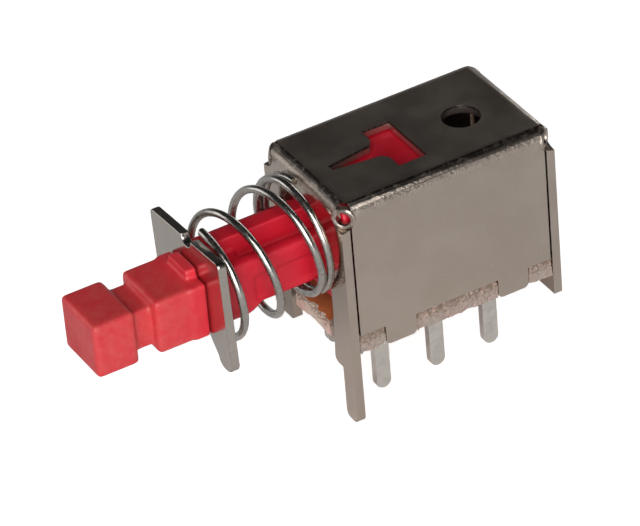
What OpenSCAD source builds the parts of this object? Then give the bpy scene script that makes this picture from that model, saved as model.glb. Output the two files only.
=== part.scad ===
// Momentary pushbutton switch for a circuit board: a folded sheet case staked over a
// phenolic base board, two rows of three flat terminals, and a moulded plunger whose rear
// end is the contact carriage. A coil spring on the stem returns it.
//
// +Z is up, away from the circuit board, and z = 0 is the board's surface. The plunger
// points to -Y. The origin is the centre of the terminal pattern.

/* [Terminals] */
// Distance between neighbouring terminals in a row
pin_pitch = 3.0; // [2.8:0.1:3.2]
// Distance between the two rows
row_spacing = 4.5; // [4.4:0.1:4.7]
// Width of a pin along its row
pin_w = 0.8; // [0.6:0.05:1.0]
// Thickness of the terminal strip
pin_t = 0.45; // [0.35:0.05:0.5]
// Reach of the pins below the seating plane
pin_drop = 2.28; // [1.8:0.02:3.5]
// Length of a fixed contact pad along its row
pad_l = 1.6; // [1.2:0.1:1.8]
// Reach of a pad from the pin's outer face towards the middle
pad_reach = 1.2; // [1.0:0.05:1.4]

/* [Case] */
// Width across the side walls
case_w = 7.2; // [7.1:0.05:7.8]
// Length over the front and rear walls
case_l = 11.6; // [11.4:0.1:13]
// Height above the seating plane
case_h = 9.55; // [9.4:0.05:11]
// Middle terminals to the outside of the front wall
front_setback = 5.2; // [5.0:0.05:5.3]
// Thickness of the case sheet
sheet_t = 0.45; // [0.35:0.05:0.5]
// Outside radius of the bends round the top
bend_r = 0.75; // [0.6:0.05:0.9]
// Diameter of the relief holes at the upper corners
relief_d = 1.15; // [0.8:0.05:1.3]
// Depth of the relief holes' centre below the top
relief_below_top = 0.8; // [0.7:0.05:1.2]
// Slit between a side wall and the end walls
corner_slit = 0.1; // [0.05:0.01:0.2]

/* [Front wall] */
// Width of the arch that the plunger passes
arch_w = 4.2; // [3.9:0.1:4.4]
// Width of the arch between the feet
arch_foot_w = 3.7; // [3.4:0.1:3.9]
// Height of the centre of the arch's round top
arch_centre_z = 6.15; // [6.05:0.05:6.4]
// Width of the locating leg
leg_w = 1.0; // [0.8:0.05:1.2]
// Reach of the locating leg below the seating plane
leg_drop = 2.82; // [2.0:0.02:3.5]

/* [Top openings] */
// Sideways offset of the latch window and the pivot hole
opening_x = 0.38; // [0:0.02:0.5]
// Width of the latch window
window_w = 3.46; // [3.0:0.02:3.8]
// Length of the window's wide end
window_l = 1.5; // [1.2:0.05:1.8]
// Middle terminals to the rear edge of the window
window_rear_y = 0.4; // [0.2:0.05:0.8]
// Width of the tapered slot where it leaves the window
taper_w = 1.36; // [1.0:0.02:1.6]
// Width of the tapered slot at its point
taper_tip_w = 0.4; // [0.3:0.05:0.6]
// Length of the tapered slot
taper_l = 2.7; // [2.0:0.1:3.0]
// Diameter of the pivot hole
pivot_d = 1.9; // [1.4:0.1:2.2]
// Middle terminals to the pivot hole
pivot_y = 3.33; // [3.1:0.01:3.6]

/* [Base board] */
// Height of the board's upper face
board_top_z = 2.12; // [1.9:0.02:2.2]
// Thickness of the board
board_t = 1.0; // [0.8:0.05:1.1]
// Width of the board's tongue in the arch
tongue_w = 3.2; // [2.6:0.1:3.3]
// Clearance between the board and the metal round it
board_gap = 0.03; // [0.02:0.01:0.06]
// Front end of the first staking tab
tab_1_y = -3.3; // [-3.5:0.05:-3.1]
// Front end of the second staking tab
tab_2_y = 2.9; // [2.7:0.05:3.0]
// Length of a staking tab
tab_l = 1.67; // [1.4:0.01:1.8]
// Reach of the staking tabs past the board's lower face
tab_past = 0.06; // [0:0.02:0.1]

/* [Plunger stem] */
// Outside of the front wall to the plunger's end face, at rest
reach = 12.11; // [11.5:0.01:13]
// Width of the stem's head
head_w = 3.31; // [3.0:0.01:3.4]
// Height of the stem's head
head_h = 2.92; // [2.6:0.01:3.0]
// Height of the head's centre above the seating plane
stem_z = 5.47; // [5.4:0.01:5.55]
// Length of the head
head_l = 2.2; // [1.8:0.05:2.6]
// Length of the groove that a cap snaps into
cap_groove_l = 1.0; // [0.8:0.05:1.2]
// Width left at the cap groove
cap_neck_w = 2.4; // [2.0:0.05:2.7]
// Height left at the cap groove
cap_neck_h = 2.15; // [1.8:0.05:2.4]
// Length of the square block behind the cap groove
block_l = 2.7; // [2.3:0.05:3.2]
// Step out of the block's rear part on each side
block_step = 0.06; // [0.03:0.01:0.1]
// Length of the block's rear part
block_step_l = 0.8; // [0.6:0.05:1.0]
// Width of the key on top of the block
key_w = 1.8; // [1.4:0.1:2.2]
// Length of the key
key_l = 0.6; // [0.4:0.05:0.75]
// Height of the key
key_h = 0.5; // [0.3:0.05:0.7]
// Radius of the moulded edges
edge_r = 0.25; // [0.15:0.05:0.3]

/* [Plunger shaft and carriage] */
// Width of the shaft
shaft_w = 3.4; // [3.2:0.05:3.5]
// Height of the shaft's underside
shaft_low_z = 4.73; // [4.6:0.01:4.9]
// Height of the shaft's upper face
shaft_top_z = 7.26; // [7.1:0.01:7.3]
// Width of the rib on top of the shaft
rib_w = 0.9; // [0.7:0.05:1.1]
// Height of the rib's top
rib_top_z = 8.05; // [7.8:0.01:8.1]
// Length of the foot under the shaft behind the retainer
foot_l = 1.45; // [1.2:0.05:1.6]
// Drop of that foot below the shaft
foot_drop = 0.62; // [0.5:0.02:0.62]
// Radius of that foot's lower edges, which clear the return spring
keel_r = 0.5; // [0.5:0.05:0.6]
// Side clearance of the carriage in the case
carriage_gap = 0.1; // [0.05:0.01:0.15]
// Height of the carriage's underside
carriage_low_z = 2.95; // [2.85:0.01:3.1]
// Travel of the plunger
travel = 3.5; // [3.3:0.05:3.6]
// Room left behind the carriage at the end of its travel
stop_gap = 0.18; // [0.1:0.02:0.2]

/* [Retainer plate] */
// Thickness of the plate
plate_t = 0.45; // [0.35:0.05:0.5]
// Width of the plate
plate_w = 6.56; // [6.4:0.02:6.8]
// Height of the plate's top edge
plate_top_z = 8.57; // [8.5:0.01:8.8]
// Height of the tips of the legs
plate_tip_z = 2.52; // [2.4:0.02:2.8]
// Width of a leg near its tip
leg_tip_w = 1.24; // [1.1:0.02:1.4]
// Radius of the leg tips
leg_tip_r = 0.5; // [0.4:0.05:0.55]
// Radius of the upper corners
plate_corner_r = 0.3; // [0.2:0.05:0.5]
// Radius of the half-round notch in the top edge
notch_r = 0.45; // [0.3:0.05:0.5]
// Sideways offset of the notch
notch_x = 0.19; // [0:0.01:0.3]
// Lean of the loose plate about the plunger, in degrees
plate_lean = 3.9; // [0:0.1:4]
// Width of the plunger's neck in the plate
neck_w = 2.4; // [2.0:0.05:2.6]
// Height of the neck
neck_h = 2.5; // [2.2:0.05:2.7]
// Play between the neck and the plate
plate_gap = 0.1; // [0.1:0.01:0.14]

/* [Springs] */
// Wire diameter of the return spring
wire_d = 0.4; // [0.3:0.02:0.44]
// Mean radius of the return spring
spring_r = 2.87; // [2.86:0.01:2.9]
// Sideways place of the coils at the retainer's end
spring_front_x = 0.35; // [0:0.01:0.36]
// Height of the coils' centre at the retainer's end
spring_front_z = 5.99; // [5.96:0.01:6.2]
// Sideways place of the coils at the case's end
spring_rear_x = 0; // [-0.02:0.01:0.02]
// Height of the coils' centre at the case's end
spring_rear_z = 6.4; // [6.1:0.01:6.41]
// Set back of the coils' +X side, as a share of their radius
skew_x = 0.059; // [0:0.001:0.07]
// Set back of the coils' top, as a share of their radius
skew_z = -0.038; // [-0.04:0.001:0]
// Open turns of the return spring
open_turns = 1.85; // [1.6:0.05:2.2]
// Nearly flat turns at the retainer's end
front_turns = 0.45; // [0.3:0.05:0.6]
// Closed turns at the case's end
rear_turns = 1.7; // [0.8:0.1:1.7]
// Wire diameter of the contact springs
contact_wire_d = 0.2; // [0.16:0.01:0.22]
// Outside diameter of the contact springs
contact_spring_d = 1.2; // [1.0:0.05:1.25]
// Turns of the contact springs
contact_spring_turns = 6; // [5:1:7]
// Depth of the bores for the contact springs above the contact recess
bore_depth = 2.4; // [2.0:0.1:3.0]
// Diameter of those bores
bore_d = 1.4; // [1.35:0.05:1.5]

/* [Moving contacts] */
// Thickness of the contact strip
strip_t = 0.2; // [0.15:0.01:0.22]
// Width of a moving contact
strip_w = 1.1; // [0.9:0.05:1.15]
// Reach of the contact past each of its dimples
strip_past = 0.5; // [0.4:0.05:0.6]
// Depth of the contact dimples
dimple_h = 0.2; // [0.15:0.01:0.25]
// Radius of the dimples' round
dimple_r = 0.5; // [0.4:0.05:0.55]
// Height of the turned-up ends
lug_h = 0.7; // [0.5:0.05:0.8]
// Running gap between sliding pieces
slide_gap = 0.02; // [0.02:0.01:0.04]
// Clearance round a moving contact in the carriage
recess_gap = 0.1; // [0.06:0.01:0.15]

/* [Hidden] */

$fn = 48;
eps = 0.5;   // how far a cutter runs past the face it opens

// Case, inside and out
case_front = -front_setback;
case_rear = case_front + case_l;
front_in = case_front + sheet_t;
rear_in = case_rear - sheet_t;
side_in = case_w / 2 - sheet_t;
top_in = case_h - sheet_t;
foot_r = 0.4;          // rounded inner corners of the feet
leg_tip_round = 0.35;  // rounded corners of the locating leg
taper_fillet = 0.25;   // fillet where the tapered slot meets the window

// Board
board_low_z = board_top_z - board_t;
tab_low_z = board_low_z - tab_past;
tab_r = 0.25;          // rounded corners of the staking tabs
tab_starts = [tab_1_y, tab_2_y];

// Terminals
pin_x = row_spacing / 2;
pin_out = pin_x + pin_t / 2;
pad_top_z = board_top_z + pin_t;
pad_in = pin_out - pad_reach;
pad_x = (pin_out + pad_in) / 2;
rows = [-pin_pitch, 0, pin_pitch];

// Stem, from its end face back
stem_front = case_front - reach;
head_rear = stem_front + head_l;
block_front = head_rear + cap_groove_l;
block_rear = block_front + block_l;
plate_front = block_rear;
plate_rear = plate_front + plate_t;
shaft_front = plate_rear + plate_gap;
stem_low_z = stem_z - head_h / 2;
stem_top_z = stem_z + head_h / 2;

// Shaft and carriage
carriage_front = front_in + slide_gap;
carriage_rear = rear_in - travel - stop_gap;
carriage_half = side_in - carriage_gap;
carriage_top_z = top_in - carriage_gap;
nose_r = 0.4;          // rounded upper edges at the carriage's ends
foot_slope_l = 0.8;    // length of the slope behind the foot
groove_w = 0.6;        // grooves beside the rib
groove_d = 0.45;
groove_front = shaft_front + 1.6;
panel_l = 3.3;         // shallow panels in the shaft's sides
panel_h = 1.3;
panel_d = 0.12;
panel_z = 5.65;
panel_front = shaft_front + 1.95;

// Retainer
slot_half = neck_w / 2 + plate_gap;
slot_r = 0.1;                  // rounded upper corners of the slot
neck_top_z = stem_z + neck_h / 2;
flare_z = plate_tip_z + 1.45;  // where the slot starts to flare

// Moving contacts and their springs
strip_y = -pin_pitch / 2;
strip_half = pin_pitch / 2 + strip_past;
strip_low_z = pad_top_z + slide_gap + dimple_h;
strip_top_z = strip_low_z + strip_t;
recess_top_z = strip_low_z + lug_h + recess_gap;
bore_top_z = recess_top_z + bore_depth;

// Return spring: places of its two ends along Y, and its advance per closed turn
spring_front = plate_rear + wire_d / 2 + spring_r * abs(skew_z) + slide_gap;
front_pitch = 0.29;
rear_pitch = wire_d + slide_gap;
spring_rear = case_front - wire_d / 2 - slide_gap;
return_steps = 36;     // rings of points per turn
contact_steps = 14;

// 2D shapes ---------------------------------------------------------------------

// Rectangle between two corners, with rounded corners
module round_rect(low, high, r) {
    w = high[0] - low[0];
    h = high[1] - low[1];
    translate([low[0] + r, low[1]]) square([w - 2 * r, h]);
    translate([low[0], low[1] + r]) square([w, h - 2 * r]);
    for (x = [low[0] + r, high[0] - r], y = [low[1] + r, high[1] - r])
        translate([x, y]) circle(r);
}

// Upright rectangle rounded at its two upper corners only
module round_top(x0, x1, low, high, r) {
    translate([x0, low]) square([x1 - x0, high - low - r]);
    translate([x0 + r, low]) square([x1 - x0 - 2 * r, high - low]);
    for (x = [x0 + r, x1 - r]) translate([x, high - r]) circle(r);
}

// Extrusions --------------------------------------------------------------------

// An XZ outline made solid from y0 to y1
module along_y(y0, y1) {
    rotate([90, 0, 0]) translate([0, 0, -y1]) linear_extrude(y1 - y0) children();
}

// A YZ outline made solid from x0 to x1
module along_x(x0, x1) {
    rotate([90, 0, 90]) translate([0, 0, x0]) linear_extrude(x1 - x0) children();
}

// Block rounded on all its edges, centred on x = 0
module soft_block(y0, y1, w, z0, z1, r) {
    intersection() {
        along_y(y0, y1) round_rect([-w / 2, z0], [w / 2, z1], r);
        along_x(-w / 2, w / 2) round_rect([y0, z0], [y1, z1], r);
        translate([0, 0, z0]) linear_extrude(z1 - z0)
            round_rect([-w / 2, y0], [w / 2, y1], r);
    }
}

// One ring of points round the wire of a coil about Y, at the given turn and centre.
// tilt sets back what lies to +X and what lies above, as shares of the radius.
function ring(r, turn, centre, wire, sides, tilt) =
    [for (k = [0:sides - 1])
        let (a = 360 * k / sides, q = r + wire / 2 * cos(a),
             x = q * sin(360 * turn), z = q * cos(360 * turn))
        centre + [x, wire / 2 * sin(a) + tilt[0] * x + tilt[1] * z, z]];

// Round wire wound about Y: turns lists each ring's turn, and centres its centre
module coil(r, wire, turns, centres, sides, tilt = [0, 0]) {
    n = len(turns);
    points = [for (i = [0:n - 1]) each ring(r, turns[i], centres[i], wire, sides, tilt)];
    skin = [for (i = [0:n - 2], k = [0:sides - 1])
        let (k2 = (k + 1) % sides)
        [i * sides + k, i * sides + k2, (i + 1) * sides + k2, (i + 1) * sides + k]];
    start_cap = [[for (k = [sides - 1:-1:0]) k]];
    end_cap = [[for (k = [0:sides - 1]) (n - 1) * sides + k]];
    polyhedron(points, concat(skin, start_cap, end_cap), convexity = 10);
}

// Case --------------------------------------------------------------------------

// The case's envelope, inset by the sheet's thickness for its inside
module envelope(inset) {
    r = bend_r - inset;
    half = case_w / 2 - inset;
    y0 = case_front + inset;
    y1 = case_rear - inset;
    low = -leg_drop - 2 * inset;
    high = case_h - inset;
    intersection() {
        along_y(y0, y1) round_top(-half, half, low, high, r);
        along_x(-half, half) round_top(y0, y1, low, high, r);
    }
}

// Everything that is missing below a side wall, with the staking tabs left standing
module side_underside() {
    difference() {
        translate([front_in, -leg_drop - eps])
            square([rear_in - front_in, board_top_z + leg_drop + eps]);
        for (y = tab_starts)
            round_rect([y, tab_low_z], [y + tab_l, board_top_z + 2 * tab_r], tab_r);
    }
}

// Outside corner of a foot rounded off, as the waste to cut away
module corner_waste(r) {
    difference() {
        square(r + eps);
        circle(r);
    }
}

// Arch and everything below the feet, but not the locating leg
module front_opening() {
    leg_in = case_w / 2 - leg_w;
    translate([0, arch_centre_z]) circle(arch_w / 2);
    polygon([[-arch_foot_w / 2, -eps], [arch_foot_w / 2, -eps],
             [arch_w / 2, arch_centre_z / 2], [arch_w / 2, arch_centre_z],
             [-arch_w / 2, arch_centre_z], [-arch_w / 2, arch_centre_z / 2]]);
    translate([-case_w / 2 - eps, -leg_drop - eps])
        square([leg_in + case_w / 2 + eps, leg_drop + eps]);
    for (side = [-1, 1])
        translate([side * (arch_foot_w / 2 + foot_r), foot_r])
            mirror([side == 1 ? 1 : 0, 0]) mirror([0, 1]) corner_waste(foot_r);
    translate([leg_in + leg_tip_round, -leg_drop + leg_tip_round])
        mirror([1, 0]) mirror([0, 1]) corner_waste(leg_tip_round);
    translate([case_w / 2 - leg_tip_round, -leg_drop + leg_tip_round])
        mirror([0, 1]) corner_waste(leg_tip_round);
}

// Latch window with its tapered slot, and the pivot hole, in plan
module top_openings() {
    front_y = window_rear_y - window_l;
    wide = taper_w / 2;
    tip = taper_tip_w / 2;
    f = taper_fillet;
    translate([opening_x - window_w / 2, front_y]) square([window_w, window_l]);
    translate([opening_x, front_y])
        polygon([[-wide - f, 0], [-wide + f / 2, -f], [-tip, -taper_l],
                 [tip, -taper_l], [wide - f / 2, -f], [wide + f, 0]]);
    translate([opening_x, pivot_y]) circle(pivot_d / 2);
}

module case() {
    color("#9b9186") difference() {
        envelope(0);
        envelope(sheet_t);
        along_x(-case_w, case_w) side_underside();
        along_y(case_front - eps, front_in) front_opening();
        along_y(rear_in, case_rear + eps)
            translate([-case_w, -leg_drop - eps]) square([2 * case_w, leg_drop + eps]);
        for (y = [front_in, rear_in - corner_slit])
            translate([-case_w, y, -eps])
                cube([2 * case_w, corner_slit, case_h - relief_below_top + eps]);
        for (side = [-1, 1], y = [case_front, case_rear])
            translate([side * case_w / 2, y, case_h - relief_below_top])
                rotate([90, 0, side * (y < 0 ? 45 : -45)])
                    cylinder(d = relief_d, h = 4 * sheet_t, center = true);
        translate([0, 0, top_in - eps]) linear_extrude(sheet_t + 2 * eps) top_openings();
    }
}

// Base board --------------------------------------------------------------------

// The board in plan: full width at the lugs between the tabs, a tongue in the arch
module board_outline() {
    y0 = front_in + board_gap;
    y1 = rear_in - board_gap;
    difference() {
        translate([-case_w / 2, y0]) square([case_w, y1 - y0]);
        for (side = [-1, 1], y = tab_starts)
            translate([side * case_w / 2, y + tab_l / 2])
                square([2 * (sheet_t + board_gap), tab_l + 2 * board_gap], center = true);
    }
    translate([-tongue_w / 2, case_front]) square([tongue_w, y0 - case_front + eps]);
}

module base_board() {
    color("#a86a42") difference() {
        translate([0, 0, board_low_z]) linear_extrude(board_t) board_outline();
        for (side = [-1, 1], y = rows)
            translate([side * pin_x, y, board_low_z + board_t / 2])
                cube([pin_t + 2 * board_gap, pin_w + 2 * board_gap, board_t + 2 * eps],
                     center = true);
    }
}

// Terminals ---------------------------------------------------------------------

// A strip bent over at the top: the pin below, the fixed contact flat on the board
module terminal(side, y) {
    color("#c9c4bc") translate([0, y, 0]) mirror([side < 0 ? 1 : 0, 0, 0]) intersection() {
        along_y(-pad_l / 2, pad_l / 2) {
            translate([pin_out - pin_t, -pin_drop])
                square([pin_t, pin_drop + pad_top_z - pin_t]);
            translate([pad_in, board_top_z]) square([pad_reach - pin_t, pin_t]);
            translate([pin_out - pin_t, board_top_z]) intersection() {
                circle(pin_t);
                square(pin_t);
            }
        }
        along_x(pad_in, pin_out) {
            translate([-pin_w / 2, -pin_drop + pin_w / 2])
                square([pin_w, pin_drop + board_top_z]);
            translate([0, -pin_drop + pin_w / 2]) circle(pin_w / 2);
            translate([-pad_l / 2, board_top_z]) square([pad_l, pin_t]);
        }
    }
}

// Plunger -----------------------------------------------------------------------

// Side view of the shaft, with its foot behind the retainer
module shaft_side() {
    foot_rear = shaft_front + foot_l;
    polygon([[shaft_front, shaft_low_z - foot_drop], [foot_rear, shaft_low_z - foot_drop],
             [foot_rear + foot_slope_l, shaft_low_z], [carriage_front + eps, shaft_low_z],
             [carriage_front + eps, rib_top_z], [shaft_front, rib_top_z]]);
}

// Cross-section of the shaft: a body with eased corners and a rib on top
module shaft_section() {
    low = shaft_low_z - foot_drop;
    ease = 0.3;
    difference() {
        round_rect([-shaft_w / 2, low], [shaft_w / 2, shaft_top_z], ease);
        for (side = [0, 1]) mirror([side, 0])
            translate([shaft_w / 2 - keel_r, low + keel_r]) mirror([0, 1]) corner_waste(keel_r);
    }
    translate([-rib_w / 2, low]) square([rib_w, rib_top_z - low]);
}

module shaft() {
    difference() {
        intersection() {
            along_x(-shaft_w / 2, shaft_w / 2) shaft_side();
            along_y(shaft_front, carriage_front + eps) shaft_section();
        }
        for (side = [-1, 1]) {
            translate([side * (rib_w + groove_w) / 2, (groove_front + carriage_front) / 2,
                       shaft_top_z])
                cube([groove_w, carriage_front - groove_front, 2 * groove_d], center = true);
            translate([side * shaft_w / 2, panel_front + panel_l / 2, panel_z])
                cube([2 * panel_d, panel_l, panel_h], center = true);
        }
    }
}

// Contact carriage with a recess and a spring bore over each row of terminals
module carriage() {
    difference() {
        intersection() {
            along_y(carriage_front, carriage_rear)
                round_top(-carriage_half, carriage_half, carriage_low_z, carriage_top_z, bend_r);
            along_x(-carriage_half, carriage_half)
                round_top(carriage_front, carriage_rear, carriage_low_z, carriage_top_z, nose_r);
        }
        for (side = [-1, 1]) translate([side * pad_x, strip_y, 0]) {
            translate([-strip_w / 2 - recess_gap, -strip_half - recess_gap, carriage_low_z - eps])
                cube([strip_w + 2 * recess_gap, 2 * (strip_half + recess_gap),
                      recess_top_z - carriage_low_z + eps]);
            translate([0, 0, recess_top_z - eps]) cylinder(d = bore_d, h = bore_depth + eps);
        }
    }
}

// Square stem that takes a cap, and the block that the retainer bears on
module stem() {
    soft_block(stem_front, head_rear, head_w, stem_low_z, stem_top_z, edge_r);
    along_y(head_rear - edge_r, block_front + edge_r)
        round_rect([-cap_neck_w / 2, stem_z - cap_neck_h / 2],
                   [cap_neck_w / 2, stem_z + cap_neck_h / 2], edge_r / 2);
    soft_block(block_front, block_rear, head_w, stem_low_z, stem_top_z, edge_r);
    along_y(block_rear - block_step_l, block_rear)
        round_rect([-head_w / 2 - block_step, stem_low_z],
                   [head_w / 2 + block_step, stem_top_z + block_step / 2], edge_r / 2);
    along_y(block_rear - key_l, block_rear)
        round_top(-key_w / 2, key_w / 2, stem_z, stem_top_z + key_h, edge_r / 2);
    along_y(block_rear - edge_r, shaft_front + edge_r)
        round_rect([-neck_w / 2, stem_z - neck_h / 2], [neck_w / 2, neck_top_z], edge_r / 2);
}

module plunger() {
    color("#c8202f") {
        stem();
        shaft();
        carriage();
    }
}

// Retainer plate ----------------------------------------------------------------

// Horseshoe that drops over the plunger's neck, open below and notched above
module plate_outline() {
    half = plate_w / 2;
    leg_in = half - leg_tip_w;
    tip_centre_z = plate_tip_z + leg_tip_r;
    difference() {
        polygon([[-half, plate_tip_z], [-half, plate_top_z], [half, plate_top_z],
                 [half, plate_tip_z], [leg_in, plate_tip_z], [leg_in, tip_centre_z],
                 [slot_half, flare_z], [-slot_half, flare_z], [-leg_in, tip_centre_z],
                 [-leg_in, plate_tip_z]]);
        for (side = [0, 1]) mirror([side, 0]) {
            translate([half - leg_tip_r, tip_centre_z]) mirror([0, 1]) corner_waste(leg_tip_r);
            translate([leg_in + leg_tip_r, tip_centre_z])
                mirror([1, 0]) mirror([0, 1]) corner_waste(leg_tip_r);
            translate([half - plate_corner_r, plate_top_z - plate_corner_r])
                corner_waste(plate_corner_r);
        }
        round_top(-slot_half, slot_half, flare_z - eps, neck_top_z + plate_gap, slot_r);
        translate([notch_x, plate_top_z]) circle(notch_r);
    }
}

module retainer_plate() {
    color("#a39c94") along_y(plate_front, plate_rear)
        translate([0, stem_z]) rotate(plate_lean) translate([0, -stem_z]) plate_outline();
}

// Springs -----------------------------------------------------------------------

// Centre of the coils at a given turn: they advance and lean mostly in the open turns
function return_centre(turn) =
    let (opened = min(max(turn - front_turns, 0), open_turns) / open_turns,
         closed = max(turn - front_turns - open_turns, 0),
         open_l = spring_rear - spring_front - front_turns * front_pitch
                  - rear_turns * rear_pitch)
    [spring_front_x + (spring_rear_x - spring_front_x) * opened,
     spring_front + min(turn, front_turns) * front_pitch + open_l * opened
     + closed * rear_pitch,
     spring_front_z + (spring_rear_z - spring_front_z) * opened];

module return_spring() {
    total = front_turns + open_turns + rear_turns;
    steps = ceil(total * return_steps);
    turns = [for (i = [0:steps]) total * i / steps];
    color("#8d8a85")
        coil(spring_r, wire_d, turns, [for (t = turns) return_centre(t)], 10,
             [skew_x, skew_z]);
}

module contact_spring(side) {
    steps = contact_spring_turns * contact_steps;
    free_l = bore_top_z - strip_top_z - contact_wire_d - 2 * slide_gap;
    turns = [for (i = [0:steps]) i / contact_steps];
    color("#c9c4bc")
        translate([side * pad_x, strip_y, strip_top_z + slide_gap + contact_wire_d / 2])
            rotate([90, 0, 0])
                coil((contact_spring_d - contact_wire_d) / 2, contact_wire_d, turns,
                     [for (t = turns) [0, free_l * t / contact_spring_turns, 0]], 8);
}

// Moving contacts ---------------------------------------------------------------

// Strip with two dimples on the pads below and turned-up ends in the carriage
module moving_contact(side) {
    color("#d8d2c4") translate([side * pad_x, strip_y, strip_low_z]) {
        translate([-strip_w / 2, -strip_half, 0]) cube([strip_w, 2 * strip_half, strip_t]);
        for (end = [-1, 1]) {
            translate([-strip_w / 2, end * (strip_half - strip_t / 2) - strip_t / 2, 0])
                cube([strip_w, strip_t, lug_h]);
            translate([0, end * pin_pitch / 2, 0]) intersection() {
                translate([0, 0, dimple_r - dimple_h]) sphere(dimple_r);
                translate([-dimple_r, -dimple_r, -dimple_h])
                    cube([2 * dimple_r, 2 * dimple_r, dimple_h + strip_t]);
            }
        }
    }
}

case();
base_board();
terminal(-1, rows[0]);  // terminal_left_front
terminal(-1, rows[1]);  // terminal_left_middle
terminal(-1, rows[2]);  // terminal_left_rear
terminal(1, rows[0]);  // terminal_right_front
terminal(1, rows[1]);  // terminal_right_middle
terminal(1, rows[2]);  // terminal_right_rear
plunger();
retainer_plate();
return_spring();
moving_contact(-1);  // moving_contact_left
moving_contact(1);  // moving_contact_right
contact_spring(-1);  // contact_spring_left
contact_spring(1);  // contact_spring_right
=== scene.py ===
"""Looks of a momentary pushbutton switch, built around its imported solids.

The row frame's +Z is up and -Y is the way the plunger points. Lengths are in metres.
"""

import logging
import math
from collections.abc import Iterator
from dataclasses import dataclass
from enum import Enum

import bmesh
import bpy
from mathutils import Matrix, Vector, noise

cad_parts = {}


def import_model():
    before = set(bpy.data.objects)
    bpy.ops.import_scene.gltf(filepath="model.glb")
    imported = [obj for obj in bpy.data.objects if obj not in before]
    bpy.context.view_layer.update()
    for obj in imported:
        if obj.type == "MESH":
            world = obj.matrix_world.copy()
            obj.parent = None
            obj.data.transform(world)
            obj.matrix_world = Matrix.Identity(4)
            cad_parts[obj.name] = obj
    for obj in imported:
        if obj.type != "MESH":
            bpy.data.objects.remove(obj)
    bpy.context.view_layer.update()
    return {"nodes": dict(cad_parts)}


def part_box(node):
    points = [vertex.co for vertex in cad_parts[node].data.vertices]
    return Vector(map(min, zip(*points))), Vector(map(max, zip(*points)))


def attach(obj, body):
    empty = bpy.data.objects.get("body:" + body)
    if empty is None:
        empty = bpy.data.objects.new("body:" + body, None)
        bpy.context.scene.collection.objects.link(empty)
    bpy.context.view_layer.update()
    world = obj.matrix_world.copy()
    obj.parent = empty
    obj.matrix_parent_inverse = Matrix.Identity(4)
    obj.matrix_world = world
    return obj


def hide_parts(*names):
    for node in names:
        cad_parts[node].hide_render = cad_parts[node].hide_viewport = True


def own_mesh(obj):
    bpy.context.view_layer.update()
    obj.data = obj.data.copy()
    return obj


LOG = logging.getLogger("pushbutton_switch")
MM = 0.001

MERGE_WITHIN = 0.0005 * MM
FLAT_WITHIN = math.radians(0.4)

Colour = tuple[float, float, float]
Triple = tuple[float, float, float]
Band = tuple[float, float, float, float]
Socket = bpy.types.NodeSocket


class Body(Enum):
    """The two bodies that the switch is made of."""

    HOUSING = "housing"
    SLIDER = "slider"


# Shader nodes ------------------------------------------------------------------------


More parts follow.
